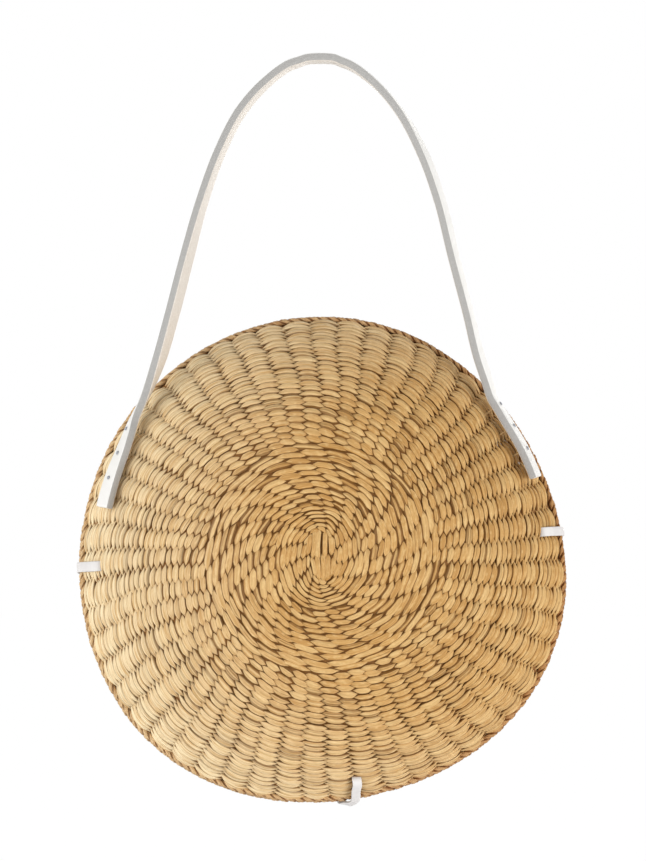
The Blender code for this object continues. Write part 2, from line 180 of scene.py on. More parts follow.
# The two bundles that the weave starts from, one strand to a row: across and up at its upper
# end, the same at its lower end, and width
start_strands = (
    (-0.0064, 0.0150, -0.0086, 0.0000, 0.0034),
    (-0.0037, 0.0180, -0.0052, -0.0022, 0.0034),
    (-0.0004, 0.0186, -0.0014, -0.0034, 0.0035),
    (0.0029, 0.0174, 0.0026, -0.0024, 0.0032),
    (0.0058, 0.0144, 0.0066, 0.0002, 0.0034),
    (-0.0060, 0.0006, -0.0030, -0.0128, 0.0032),
    (-0.0027, 0.0024, -0.0008, -0.0156, 0.0034),
    (0.0010, 0.0032, 0.0016, -0.0168, 0.0035),
    (0.0047, 0.0024, 0.0040, -0.0158, 0.0032),
    (0.0082, 0.0008, 0.0062, -0.0130, 0.0032),
)
start_flat = 0.62
start_grooves = (0.05, 0.3)
start_fill = 1.02
start_thickness = 0.0027
start_thickness_scatter = 0.05
start_rise = 0.0004
start_dive = 0.0013
start_dive_power = 3
start_bow = 0.0004

# Border: two strands twisted about each other on the edge of each half, over a laid rope. They
# are flat against each other, and swell and change their tone on the way round.
border_radius = 0.1592
border_depth = 0.0018
border_twist_radius = 0.00085
border_strand_radius = 0.00125
border_turns = 78
border_phase = 0.4
rope_turns = 92
rope_phase = 1.1
rope_twist_share = 0.40
rope_strand_share = 0.62
strand_flattening = 0.8
strand_widening = 1.25
strand_swell = 0.10
swell_places = 200
tone_places = 120
twist_steps = 14
twist_sides = 8
rope_reach = rope_ring_radius + rope_radius * (rope_twist_share + rope_strand_share * strand_flattening)

# Seeds of the scatter. Each kind of piece adds its side, and the zones give those of the weave.
lining_seed_shift = 100
start_seed = 7
border_seed = 31
rope_seed = 41

# Bands: the radius of their rounded arrises, how many times finer their rows are than those of
# their path, and the rounding of their ends
strap_finish = (0.0011, 3, 0.0008)
backing_finish = (0.0006, 2, 0.0005)
lace_finish = (0.0007, 1, 0.0006)
band_corner_steps = 4
band_face_steps = 6
band_end_shares = (0.0, 0.3, 0.65, 1.0)
band_end_clearance = 1.5
band_edge_angle = math.radians(60)
merge_distance = 1e-6

# Laces that tie the halves together over the rims, close to those of the CAD model
lace_thickness = 0.0016
lace_hole_radius = 0.144
lace_turn = 0.0016
lace_spare = 0.014
lace_step = 0.0012

# Each lace in degrees round the bag: at its front hole, where it crosses the front rim, the seam
# and the back rim, and at its back hole. Then its slack over the seam, how far its outer face
# turns to the front there, its width and its front hole's radius.
laces = {
    "side_lace_left": ((183.1, 182.7, 182.7, 182.7, 183.1), 0.0, 0.0, 0.0066, lace_hole_radius),
    "side_lace_right": ((5.7, 5.9, 6.0, 6.1, 6.1), 0.0, 0.0, 0.0060, 0.145),
    "bottom_lace": ((279.1, 278.0, 275.8, 274.8, 273.6), 0.0014, 1.2, 0.0060, 0.1475),
}

# Knots at the laces' ends: size and rise of the trefoil, half width of its lace and how flat that
# is, its sides' place across the leather, and how far past the lace's end its middle lies
knot_size = 0.00128
knot_rise = 1.2
knot_half_width = 0.0016
knot_flattening = 0.7
knot_side_share = 0.9
knot_reach = 0.003
knot_steps = 60
knot_sides = 10

# Rivets: the shank takes a straw colour without shine within a share of the head's height, and the
# burr narrows to a share of its radius at its upper end and at its foot
rivet_head_height = 0.0007
rivet_burr_height = 0.0008
rivet_shank_radius = 0.0004
rivet_bright_share = 0.5
rivet_burr_top_share = 0.85
rivet_burr_foot_share = 0.8
rivet_crease_angle = math.radians(50)
rivet_dome_steps = 5
rivet_sides = 20

# Patterns of the materials: scale to a metre, for straw along and across a strand, and relief
cord_scale = (45, 760, 1)
streak_scale = (90, 2600, 1)
patch_scale = (220, 500, 1)
straw_relief = 0.0003
leather_grain_scale = 1500.0
leather_fine_scale = 900.0
leather_soft_scale = 60.0
leather_relief = 0.00012
metal_scale = 2500.0
shadow_scale = 700.0

# Camera: level, on the front side. The photograph is 646 x 861 pixels.
photo_width_px = 646
photo_height_px = 861
metres_per_px = 0.0006584
camera_distance = 1.25
bag_centre_px = (320.8, 557.0)
camera_reach = 50
sensor_size = 36.0

# Stage: the world's light, the floor, and the lamps, each with its name, place, diameter, watts
# and colour, which face a place a little above the bag's middle
world_light = (0.50, 0.50, 0.505, 1.0)
white = (1.0, 1.0, 1.0, 1.0)
floor_height = -1.15
floor_size = 16.0
floor_colour = (0.86, 0.86, 0.86, 1.0)
floor_glow = 1.06
floor_glow_share = 0.9
lamp_target_rise = 0.05
lamps = (
    ("key", (-1.8, -1.2, -0.15), 2.6, 38, (1.0, 0.99, 0.965)),
    ("back", (0.5, 2.0, 0.2), 1.6, 16, (1.0, 0.99, 0.965)),
    ("fill", (1.65, -1.2, -0.45), 1.4, 26, (1.0, 0.985, 0.955)),
)


# Frame of the hanging bag

def joint_place(name):
    joint = next(item for item in frame["joints"] if item["name"] == name)
    return Vector(joint["pos_m"])


lean = Matrix.Rotation(-hang_tilt, 4, "X")
bag_centre = joint_place("mouth_opening") - lean @ Vector((0, 0, -rim_reach))
lean_array = np.array(lean.to_3x3())
centre_array = np.array(bag_centre)


def to_world(points):
    """World coordinates of points in the bag frame, drawn in or out to the bag's outline."""
    points = np.array(points, float)
    angle = np.arctan2(points[..., 2], points[..., 0])
    radius = np.hypot(points[..., 0], points[..., 2]) + tiny
    reach = -outline_inset + 0 * angle
    for height, crests, place in outline_waves:
        reach += height * np.cos(crests * (angle - math.radians(place)))
    grow = 1 + reach * np.clip(radius / shell_radius, 0, 1) ** 3 / radius
    points[..., 0] *= grow
    points[..., 2] *= grow
    return points @ lean_array.T + centre_array


# Geometry of the dome, in the bag frame. The arc is the length along the dome from its middle.

table_radii = np.linspace(0, shell_radius * table_overrun, table_size)
rim_steepness = dome_power * dome_height / shell_radius
table_slopes = np.arctan(rim_steepness * (table_radii / shell_radius) ** (dome_power - 1))
table_steps = np.diff(table_radii) / np.cos((table_slopes[1:] + table_slopes[:-1]) / 2)
table_arcs = np.concatenate([[0], np.cumsum(table_steps)])


def arc_at(radius):
    return np.interp(radius, table_radii, table_arcs)


def radius_at(arc):
    return np.interp(arc, table_arcs, table_radii)


def slope_at(radius):
    return np.interp(radius, table_radii, table_slopes)


def dome_depth(radius):
    return dome_height * (1 - (radius / shell_radius) ** dome_power)


def stretch_left(radius):
    """How much of the first rows' stretch is left at a radius, from 1 to 0."""
    return np.clip((stretch_end_radius - radius) / (stretch_end_radius - stretch_peak_radius), 0, 1)


def waves(table, angle, radius):
    return sum(np.sin(crests * angle + radius * growth + phase) for crests, growth, phase in table)


def wobble(angle, radius):
    """Slow unevenness of a hand-made weave, as a turn and as a shift along the arc."""
    fade = np.clip(radius / wobble_start, 0, 1) * np.clip((wobble_end - radius) / wobble_end_fade, 0, 1)
    turn = waves(wobble_turn_waves, angle, radius) * wobble_angle / 2
    shift = waves(wobble_shift_waves, angle, radius) * wobble_arc / 2
    return turn * fade, shift * fade


def weave_place(angle, arc):
    """Plane coordinates of a place in the weave."""
    turn, shift = wobble(angle, radius_at(arc))
    radius = radius_at(arc + shift)
    angle = angle + turn
    stretch = first_rows_stretch * np.minimum(radius, stretch_peak_radius) * stretch_left(radius) ** 2
    drop = weave_drop * (1 - np.clip(radius / shell_radius, 0, 1) ** 2)
    x = (radius - stretch) * np.cos(angle)
    z = (radius + stretch) * np.sin(angle) - drop
    return x, z


def surface(x, z, lift, side):
    """Points above the woven surface by lift, in the bag frame."""
    radius = np.hypot(x, z) + tiny
    slope = slope_at(radius)
    outward = np.sin(slope) * lift / radius
    y = side * (edge_offset + dome_depth(radius) + np.cos(slope) * lift)
    return np.stack([x * (1 + outward), y, z * (1 + outward)], axis=-1)


def unit(vectors):
    return vectors / np.linalg.norm(vectors, axis=-1, keepdims=True)


def square_to(along, vectors):
    """Unit vectors that are square to along, from vectors that are not."""
    return unit(vectors - (vectors * along).sum(axis=-1, keepdims=True) * along)


# Mesh building

def add_object(name, data):
    item = bpy.data.objects.new(name, data)
    bpy.context.collection.objects.link(item)
    return item


def mesh_piece(name, points, faces, material, attributes=None):
    mesh = bpy.data.meshes.new(name)
    mesh.from_pydata([tuple(point) for point in points], [], faces)
    for key, values in (attributes or {}).items():
        values = np.asarray(values, np.float32)
        kind = "FLOAT_VECTOR" if values.ndim == 2 else "FLOAT"
        field = "vector" if values.ndim == 2 else "value"
        mesh.attributes.new(key, kind, "POINT").data.foreach_set(field, values.ravel())
    mesh.shade_smooth()
    mesh.materials.append(material)
    return add_object(name, mesh)


def spindle_faces(segments, sides):
    """Faces of one closed spindle: a pole, rings of sides points and a second pole."""
    faces = []
    rings = segments - 1
    last = 1 + rings * sides
    for k in range(sides):
        after = (k + 1) % sides
        faces.append((0, 1 + after, 1 + k))
        faces.append((last, last - sides + k, last - sides + after))
        for ring in range(rings - 1):
            low = 1 + ring * sides
            faces.append((low + k, low + after, low + sides + after, low + sides + k))
    return faces


def tube_faces(rows, sides, closed=False):
    """Quads between rows that each have sides points. Closed joins the last row to the first."""
    faces = []
    for row in range(rows if closed else rows - 1):
        low = row * sides
        high = (row + 1) % rows * sides
        for k in range(sides):
            after = (k + 1) % sides
            faces.append((low + k, low + after, high + after, high + k))
    return faces


def faced_outward(points, faces):
    """The faces of a closed body, turned round if they face inward."""
    points = points - np.mean(points, axis=0)
    volume = 0.0
    for face in faces:
        corners = points[list(face)]
        for second, third in zip(corners[1:], corners[2:]):
            volume += np.dot(corners[0], np.cross(second, third))
    return faces if volume > 0 else [tuple(reversed(face)) for face in faces]


def many_faces(pattern, each, count):
    """The pattern's faces for each of count bodies that have each points."""
    return [tuple(corner + k * each for corner in face) for k in range(count) for face in pattern]


def stitch_width(t, flat):
    """Share of its full width that a stitch has at t, from one end at -1 to the other at 1."""
    taper = np.clip((np.abs(t) - flat) / (1 - flat), 0, 1)
    return 1 - (taper + taper * taper * (3 - 2 * taper)) / 2


def painted_light_at(points):
    """Painted light that makes the straw paler: most at the rim, which faces the lamps at the sides, and more
    on the left, where the key lamp stands, than on the right.
    """
    reach = np.hypot(points[..., 0], points[..., 2]) / shell_radius
    return rim_painted_light * reach ** 2 - left_painted_light * points[..., 0] / shell_radius


def make_spindles(name, place, lift, widths, thicknesses, side, random, segments, sides, grooves, flat, fill):
    """Many closed, pointed strands on the dome, with grooves between their two or three cords.

    place(u, across) gives the plane coordinates of all strands, u along and across beside their
    middle lines, and lift(u) their height above the surface.
    """
    count = len(widths)
    tones = random.random(count)
    turned = random.normal(0, groove_scatter, count)
    depths = grooves[0] + (grooves[1] - grooves[0]) * random.random((count, 1))
    places = np.where(random.random((count, 1)) < one_groove_share, 0, groove_place)
    u = np.arange(1, segments) / segments
    t = 2 * u - 1
    section = 2 * np.pi * np.arange(sides) / sides + turned[:, None]
    from_crest = np.abs(section - turned[:, None] - np.pi / 2)
    depth = 1 - depths * np.exp(-((from_crest - places) / groove_width) ** 2)
    share = stitch_width(t, flat)
    half_width = widths[:, None] / 2 * share
    half_thickness = thicknesses[:, None] / 2 * (end_thickness_share + (1 - end_thickness_share) * share)
    across = half_width[:, :, None] * (np.cos(section) * depth)[:, None]
    rise = half_thickness[:, :, None] * (np.sin(section) * depth)[:, None]
    x, z = place(u, across)
    rings = surface(x, z, lift(u)[:, :, None] + rise, side)
    ends = []
    for end in (0.0, 1.0):
        x, z = place(np.array([end]), np.zeros((count, 1, 1)))
        ends.append(surface(x, z, lift(np.array([end]))[:, :, None], side)[:, 0])
    points = np.concatenate([ends[0], rings.reshape(count, -1, 3), ends[1]], axis=1)
    each = points.shape[1]
    # Each strand's length along and around it, and one random number of its own
    along = np.concatenate([[0], np.repeat(u, sides), [1]])
    around = np.tile(np.cos(section), (1, segments - 1)) * widths[:, None] / 2
    around = np.pad(around, ((0, 0), (1, 1)))
    length = np.linalg.norm(ends[1] - ends[0], axis=-1)
    own = np.repeat(tones[:, None] * stitch_pattern_spread, each, axis=1)
    # Height above a line a little under the one where strands of this fill meet, as a share of
    # the way from it to the crest. The material paints shade in the gaps below it.
    meeting = gap_shade_share * math.sqrt(1 - 1 / fill ** 2)
    height = (np.sin(section) * depth - meeting) / (1 - meeting)
    height = np.pad(np.tile(height, (1, segments - 1)), ((0, 0), (1, 1)))
    tip = np.concatenate([[1], np.repeat(np.abs(t), sides), [1]])
    faces = many_faces(faced_outward(points[0], spindle_faces(segments, sides)), each, count)
    attributes = {
        "fibre": np.stack([along * length, around, own], axis=-1).reshape(-1, 3),
        "tone": np.repeat(tones, each),
        "height": height.ravel(),
        "tip": np.tile(tip, count),
        # Painted light: paler towards the rim and on the left
        "painted_light": painted_light_at(points).ravel(),
    }
    return mesh_piece(name, to_world(points.reshape(-1, 3)), faces, straw, attributes)


def zone_stitches(name, zone, rows, side, seed, inside):
    """Rows of one zone on one half, every stitch a strand that rises over its rod."""
    random = np.random.default_rng(seed)
    start, end = (arc_at(radius) for radius in zone["radii"])
    columns = zone["columns"]
    pitch = (end - start) / zone["rows"]
    row, column = np.meshgrid(rows, np.arange(columns), indexing="ij")
    # The rows are one spiral, so a row's place grows by one on the way round
    spiral = row.ravel() + column.ravel() / columns
    drawn = spiral > first_spiral
    spiral = spiral[drawn]
    column = column.ravel()[drawn]
    count = len(spiral)
    step = 2 * np.pi / columns
    turn = math.radians(zone["turn"])
    # A stitch rises about half a row per column, so that the pointed ends of neighbours lie
    # between each other. Where the columns turn, this slant keeps it midway between them.
    even_slant = 1 / (2 + turn / step)
    shifts = np.random.default_rng(columns + side).normal(0, column_scatter, columns)[column]
    middle = (column + shifts + random.normal(0, place_scatter, count)) * step + turn * spiral
    arc = start + pitch * (spiral + random.normal(0, row_scatter, count))
    share = np.clip((arc - start) / (end - start), 0, 1)
    dive = zone["dives"][0] + (zone["dives"][1] - zone["dives"][0]) * share ** dive_growth
    peak = random.normal(0, peak_scatter, count)
    slant = even_slant * (1 + random.normal(0, slant_scatter, count))
    span = zone["span"] * (1 + random.normal(0, span_scatter, count))
    full_thickness = lining_thickness if inside else stitch_thickness
    thickness = full_thickness * (1 + random.normal(0, thickness_scatter, count))
    widths = 2 * even_slant * pitch * zone["fill"] * (1 + random.normal(0, width_scatter, count))
    # The rows lie wider apart left and right of the start, and closer above and below it
    widths *= 1 + first_rows_spread * stretch_left(radius_at(arc)) * np.cos(2 * middle)
    mirrored = (side == back) != inside

    def place(u, across):
        columns_along = (2 * u - 1) * span[:, None] / 2
        angle = (middle[:, None] + columns_along * step)[:, :, None] + np.zeros_like(across)
        along_arc = (arc[:, None] + columns_along * slant[:, None] * pitch)[:, :, None] + across
        return weave_place(np.pi - angle if mirrored else angle, along_arc)

    def lift(u):
        t = np.abs(2 * u - 1)
        if inside:
            return -shell_wall + thickness[:, None] / 2 + lining_dive * t ** 2
        return peak[:, None] - thickness[:, None] / 2 - dive[:, None] * t ** dive_power

    segments = lining_segments if inside else stitch_segments
    sides = lining_sides if inside else stitch_sides
    sizes = (segments, sides, zone["grooves"], zone["flat"], zone["fill"])
    return make_spindles(name, place, lift, widths, thickness, side, random, *sizes)


# Materials

def colour(red, green, blue):
    return (red, green, blue, 1.0)


class Nodes:
    """The node tree of a material or world, with short calls to add nodes and join them."""

    def __init__(self, owner):
        owner.use_nodes = True
        self.owner = owner
        self.tree = owner.node_tree
        self.shader = self.tree.nodes.get("Principled BSDF")

    def add(self, kind, inputs=None, **settings):
        node = self.tree.nodes.new(kind)
        for key, value in settings.items():
            setattr(node, key, value)
        for key, value in (inputs or {}).items():
            self.put(node.inputs[key], value)
        return node

    def put(self, socket, value):
        if isinstance(value, bpy.types.NodeSocket):
            self.tree.links.new(value, socket)
        else:
            socket.default_value = value

    def math(self, operation, first, second=0.0):
        return self.add("ShaderNodeMath", {0: first, 1: second}, operation=operation).outputs[0]

    def attribute(self, name, output="Fac"):
        return self.add("ShaderNodeAttribute", attribute_name=name).outputs[output]

    def position(self):
        return self.add("ShaderNodeTexCoord").outputs["Object"]

    def seen_directly(self):
        """1 for rays from the camera, and for those that metal and glass reflect or pass on."""
        path = self.add("ShaderNodeLightPath").outputs
        seen = self.math("MAXIMUM", path["Is Camera Ray"], path["Is Glossy Ray"])
        return self.math("MAXIMUM", seen, path["Is Transmission Ray"])

    def scaled(self, vector, scale):
        node = self.add("ShaderNodeVectorMath", {0: vector, 1: scale}, operation="MULTIPLY")
        return node.outputs[0]

    def noise(self, vector, scale=1.0, detail=2.0, roughness=0.5):
        inputs = {"Vector": vector, "Scale": scale, "Detail": detail, "Roughness": roughness}
        return self.add("ShaderNodeTexNoise", inputs).outputs["Fac"]

    def span(self, value, low, high, to_low=0.0, to_high=1.0):
        inputs = {"Value": value, "From Min": low, "From Max": high, "To Min": to_low, "To Max": to_high}
        return self.add("ShaderNodeMapRange", inputs).outputs["Result"]

    def mix(self, factor, first, second):
        node = self.add("ShaderNodeMix", data_type="RGBA")
        self.put(node.inputs["Factor"], factor)
        self.put(node.inputs["A"], first)
        self.put(node.inputs["B"], second)
        return node.outputs["Result"]

    def tint(self, base, added, pattern, low, high, most=1.0):
        """The base with a second colour, which grows to its most as the pattern goes low to high."""
        return self.mix(self.span(pattern, low, high, 0.0, most), base, added)

    def bump(self, height, distance, strength=1.0):
        inputs = {"Height": height, "Distance": distance, "Strength": strength}
        return self.add("ShaderNodeBump", inputs).outputs["Normal"]

    def finish(self, colour, roughness, normal=None, **values):
        self.put(self.shader.inputs["Base Color"], colour)
        self.put(self.shader.inputs["Roughness"], roughness)
        if normal is not None:
            self.put(self.shader.inputs["Normal"], normal)
        for key, value in values.items():
            self.shader.inputs[key.replace("_", " ")].default_value = value
        return self.owner


# Flesh side: off-white leather with painted shade and painted warm light reflected from the straw
shaded_flesh_colours = (colour(0.66, 0.61, 0.55), colour(0.76, 0.72, 0.67))
edge_colours = (colour(0.355, 0.35, 0.34), colour(0.41, 0.405, 0.395))
nickel_colours = (colour(0.20, 0.21, 0.24), colour(0.36, 0.37, 0.40))
shank_straw_colour = colour(0.55, 0.36, 0.16)
shadow_colours = (colour(0.15, 0.06, 0.01), colour(0.27, 0.115, 0.025))


def straw_material(name, painted_light_most, painted_light_colour, pale, main, deep, crevice_shade):
    """Raffia: fine fibres along each strand and an uneven tone, with painted shade in the crevices and at the
    strands' tips, and painted light that makes it paler to the rim and the left.
    """
    nodes = Nodes(bpy.data.materials.new(name))
    fibre = nodes.attribute("fibre", "Vector")
    tone = nodes.attribute("tone")
    cords = nodes.noise(nodes.scaled(fibre, cord_scale), detail=1.0)
    streaks = nodes.noise(nodes.scaled(fibre, streak_scale), detail=3.0, roughness=0.6)
    patches = nodes.noise(nodes.scaled(fibre, patch_scale), detail=2.0)
    base = nodes.mix(nodes.span(streaks, 0.30, 0.60), deep, main)
    base = nodes.tint(base, deep, cords, 0.50, 0.36, most=0.75)
    base = nodes.tint(base, pale, patches, 0.48, 0.72, most=0.55)
    base = nodes.tint(base, pale, tone, 0.45, 1.0, most=0.38)
    base = nodes.tint(base, deep, tone, 0.16, 0.0, most=0.30)
    # Painted light: where it is lit most, the straw has the same streaks and cords in paler colours
    lit_straw = nodes.mix(nodes.span(streaks, 0.30, 0.55), main, painted_light_colour)
    lit_straw = nodes.tint(lit_straw, main, cords, 0.48, 0.36, most=0.7)
    lit_share = nodes.span(nodes.attribute("painted_light"), 0.15, 1.30, 0.0, painted_light_most)
    base = nodes.mix(lit_share, base, lit_straw)
    # Painted shade in the gaps between strands, less dark where light is painted
    low = nodes.span(nodes.attribute("height"), 0.30, -0.08, 0.0, 0.86)
    low = nodes.math("MULTIPLY", low, nodes.span(lit_share, 0.2, 0.75, 1.0, 0.6))
    base = nodes.mix(low, base, crevice_shade)
    # Painted shade at the strands' tips, where they dive under their neighbours
    base = nodes.tint(base, crevice_shade, nodes.attribute("tip"), 0.86, 1.0, most=0.25)
    normal = nodes.bump(nodes.math("ADD", streaks, cords), straw_relief, 0.8)
    roughness = nodes.span(streaks, 0.3, 0.7, 0.62, 0.46)
    return nodes.finish(base, roughness, normal, Specular_IOR_Level=0.2)


def leather_material(name, dull, clean):
    """Off-white leather: fine grain, grey painted edges, and a flesh side painted darker and warmer with
    shade and with warm light reflected from the straw.
    """
    nodes = Nodes(bpy.data.materials.new(name))
    parts = nodes.add("ShaderNodeSeparateXYZ", {0: nodes.attribute("place", "Vector")})
    across = nodes.math("ABSOLUTE", parts.outputs["X"])
    outward = parts.outputs["Y"]
    position = nodes.position()
    inputs = {"Vector": position, "Scale": leather_grain_scale}
    grain = nodes.add("ShaderNodeTexVoronoi", inputs, feature="SMOOTH_F1").outputs[0]
    fine = nodes.noise(position, leather_fine_scale, 4.0, 0.6)
    soft = nodes.noise(position, leather_soft_scale, 3.0)
    face = nodes.mix(nodes.span(soft, 0.3, 0.7), dull, clean)
    speckle = nodes.span(fine, 0.35, 0.7)
    # The inward flesh side, with painted shade and reflected warm light
    base = nodes.tint(face, nodes.mix(speckle, *shaded_flesh_colours), outward, -0.3, -0.8)
    base = nodes.tint(base, nodes.mix(speckle, *edge_colours), across, 0.955, 0.985)
    height = nodes.math("ADD", grain, nodes.math("MULTIPLY", fine, 0.8))
    normal = nodes.bump(height, leather_relief, 0.5)
    roughness = nodes.span(fine, 0.3, 0.7, 0.42, 0.58)
    return nodes.finish(base, roughness, normal, Specular_IOR_Level=0.4)


def metal_material():
    """Small nickel rivets. The shank is painted the colour of the straw round it, without shine, so that
    where it shows in the shaded gap under the strap it reads as straw.
    """
    nodes = Nodes(bpy.data.materials.new("Rivet metal"))
    fine = nodes.noise(nodes.position(), metal_scale, 3.0)
    shank = nodes.attribute("shank")
    base = nodes.mix(shank, nodes.mix(fine, *nickel_colours), shank_straw_colour)
    polish = nodes.span(fine, 0.3, 0.7, 0.25, 0.45)
    roughness = nodes.math("ADD", polish, nodes.math("MULTIPLY", shank, 0.4))
    nodes.put(nodes.shader.inputs["Metallic"], nodes.span(shank, 0.0, 1.0, 0.6, 0.0))
    return nodes.finish(base, roughness)


def shadow_material():
    """The rods and strand ends between the stitches, painted dark with the shade that falls between them."""
    nodes = Nodes(bpy.data.materials.new("Straw shadow"))
    fine = nodes.noise(nodes.position(), shadow_scale, 3.0)
    return nodes.finish(nodes.mix(fine, *shadow_colours), 0.85, nodes.bump(fine, straw_relief))


straw = straw_material(
    "Straw",
    painted_light_most=0.9,
    painted_light_colour=colour(0.97, 0.84, 0.57),
    pale=colour(0.79, 0.57, 0.27),
    main=colour(0.62, 0.37, 0.135),
    deep=colour(0.43, 0.22, 0.06),
    crevice_shade=colour(0.14, 0.05, 0.005),
)
border_straw = straw_material(
    "Border straw",
    painted_light_most=0.8,
    painted_light_colour=colour(0.88, 0.68, 0.40),
    pale=colour(0.68, 0.42, 0.17),
    main=colour(0.50, 0.26, 0.09),
    deep=colour(0.33, 0.13, 0.04),
    crevice_shade=colour(0.20, 0.07, 0.015),
)
leather = leather_material("White leather", colour(0.77, 0.76, 0.73), colour(0.83, 0.82, 0.80))
lace_leather = leather_material("Lace leather", colour(0.62, 0.595, 0.59), colour(0.72, 0.70, 0.69))
metal = metal_material()
straw_shadow = shadow_material()


# Woven halves

def core_layer(side):
    """The layer of rods and strand ends that shows between the stitches, painted dark as shade."""
    angle = 2 * np.pi * np.arange(rod_layer_sectors) / rod_layer_sectors
    radii = np.linspace(0, 1, rod_layer_rings)[1:] ** rod_layer_crowding * (shell_radius - rod_layer_inset)
    share = np.clip((radii - flank_start) / (flank_finish - flank_start), 0, 1)
    tops = -np.interp(share, (0, 1), rod_layer_depths)
    # Out over the top from its middle, then back under it
    layers = list(zip(radii, tops)) + [(radius, seat_gap - shell_wall) for radius in radii[::-1]]
    rings = [surface(radius * np.cos(angle), radius * np.sin(angle), lift, side) for radius, lift in layers]
    poles = [surface(np.zeros(1), np.zeros(1), lift, side) for lift in (tops[0], seat_gap - shell_wall)]
    points = np.concatenate([poles[0]] + rings + [poles[1]])
    faces = faced_outward(points, spindle_faces(len(rings) + 1, rod_layer_sectors))
    return mesh_piece(f"{half_names[side]}_rod_layer", to_world(points), faces, straw_shadow)


def start_bundles(side, seed):
    """The two bundles of parallel strands that the weave starts from."""
    random = np.random.default_rng(seed)
    strands = np.array(start_strands)
    widths = strands[:, 4]
    # The back half mirrors the front one
    upper = strands[:, :2] * (-side, 1)
    lower = strands[:, 2:4] * (-side, 1)
    bow = random.normal(0, start_bow, len(widths))
    thickness = start_thickness * (1 + random.normal(0, start_thickness_scatter, len(widths)))

    def place(u, across):
        share = np.broadcast_to(u[:, None], across.shape)
        ends = zip(lower.T[..., None, None], upper.T[..., None, None])
        x, z = (low + (high - low) * share for low, high in ends)
        return x + bow[:, None, None] * np.sin(np.pi * share) + across, z - weave_drop

    def lift(u):
        dive = start_dive * np.abs(2 * u - 1) ** start_dive_power
        return start_rise - thickness[:, None] / 2 - dive

    name = f"{half_names[side]}_weave_start"
    sizes = (stitch_segments, stitch_sides, start_grooves, start_flat, start_fill)
    return make_spindles(name, place, lift, widths, thickness, side, random, *sizes)


# Twisted cords round the rims

def read_round(angle, values):
    """Values that are spread evenly round a circle, read at angles between them."""
    return np.interp(angle, np.linspace(0, 2 * np.pi, len(values)), values, period=2 * np.pi)


def twisted_ring(name, radius, y, tilt, twist_radius, strand_radius, turns, phase, seed):
    """Two strands twisted about each other along a circle in the bag frame."""
    random = np.random.default_rng(seed)
    steps = turns * twist_steps
    angle = 2 * np.pi * np.arange(steps) / steps
    section = 2 * np.pi * np.arange(twist_sides) / twist_sides
    radial = np.stack([np.cos(angle), 0 * angle, np.sin(angle)], axis=-1)
    axis = np.array([0.0, 1.0, 0.0])
    first = radial * math.cos(tilt) + axis * math.sin(tilt)
    second = -radial * math.sin(tilt) + axis * math.cos(tilt)
    outer = (np.cos(section) * strand_radius * strand_flattening)[:, None]
    beside = (np.sin(section) * strand_radius * strand_widening)[:, None]
    points = []
    fibres = []
    tones = []
    for strand, shift in enumerate(ring_pattern_shifts):
        swell = 1 + strand_swell * read_round(angle, random.normal(0, 1, swell_places))
        twist = (turns * angle + phase + strand * np.pi)[:, None]
        out = first * np.cos(twist) + second * np.sin(twist)
        side_way = -first * np.sin(twist) + second * np.cos(twist)
        line = radial * radius + axis * y + out * twist_radius
        offset = out[:, None] * outer + side_way[:, None] * beside
        points.append(line[:, None] + offset * swell[:, None, None])
        along, around = np.meshgrid(angle * radius, section * strand_radius, indexing="ij")
        fibres.append(np.stack([along, around, np.full_like(along, shift)], axis=-1))
        tones.append(np.repeat(read_round(angle, random.random(tone_places)), twist_sides))
    points = np.concatenate(points).reshape(-1, 3)
    attributes = {
        "fibre": np.concatenate(fibres).reshape(-1, 3),
        "height": np.tile(np.cos(section), len(ring_pattern_shifts) * steps),
        "tone": np.concatenate(tones),
        "tip": np.zeros(len(points)),
        # Painted light: paler towards the rim and on the left
        "painted_light": painted_light_at(points),
    }
    pattern = tube_faces(steps, twist_sides, closed=True)
    faces = many_faces(pattern, steps * twist_sides, len(ring_pattern_shifts))
    return mesh_piece(name, to_world(points), faces, border_straw, attributes)


def make_border(side):
    """The twisted border on the edge of one half, and the rope beneath it on the seam."""
    name = half_names[side]
    slope = float(slope_at(border_radius))
    place = surface(np.array([border_radius]), np.array([0.0]), -border_depth, side)[0]
    tilt = math.atan2(side * math.cos(slope), math.sin(slope))
    border = twisted_ring(
        f"{name}_border", place[0], place[1], tilt, border_twist_radius, border_strand_radius,
        border_turns, border_phase, border_seed + side,
    )
    rope = twisted_ring(
        f"{name}_rope", rope_ring_radius, side * (rope_radius + seat_gap / 2), 0.0,
        rope_radius * rope_twist_share, rope_radius * rope_strand_share,
        rope_turns, rope_phase, rope_seed + side,
    )
    for piece in (border, rope):
        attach(piece, f"{name}_half")
    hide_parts(f"{name}_rim_braid")


def make_half(side):
    name = half_names[side]
    body = f"{name}_half"
    pieces = []
    for zone in zones:
        shares = np.array_split(np.arange(zone["first_row"], zone["rows"]), len(zone["names"]))
        for zone_name, rows, seed in zip(zone["names"], shares, zone["seeds"]):
            for layer, shift in (("weave", 0), ("lining", lining_seed_shift)):
                place = (zone, rows, side, seed + shift + side)
                pieces.append(zone_stitches(f"{name}_{layer}_{zone_name}", *place, layer == "lining"))
    pieces.append(start_bundles(side, start_seed + side))
    pieces.append(core_layer(side))
    for piece in pieces:
        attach(piece, body)
    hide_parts(f"{name}_shell")
    make_border(side)


# Bands: the strap and the backings follow the long edges of their CAD solids, and the laces a
# route of their own over the rims

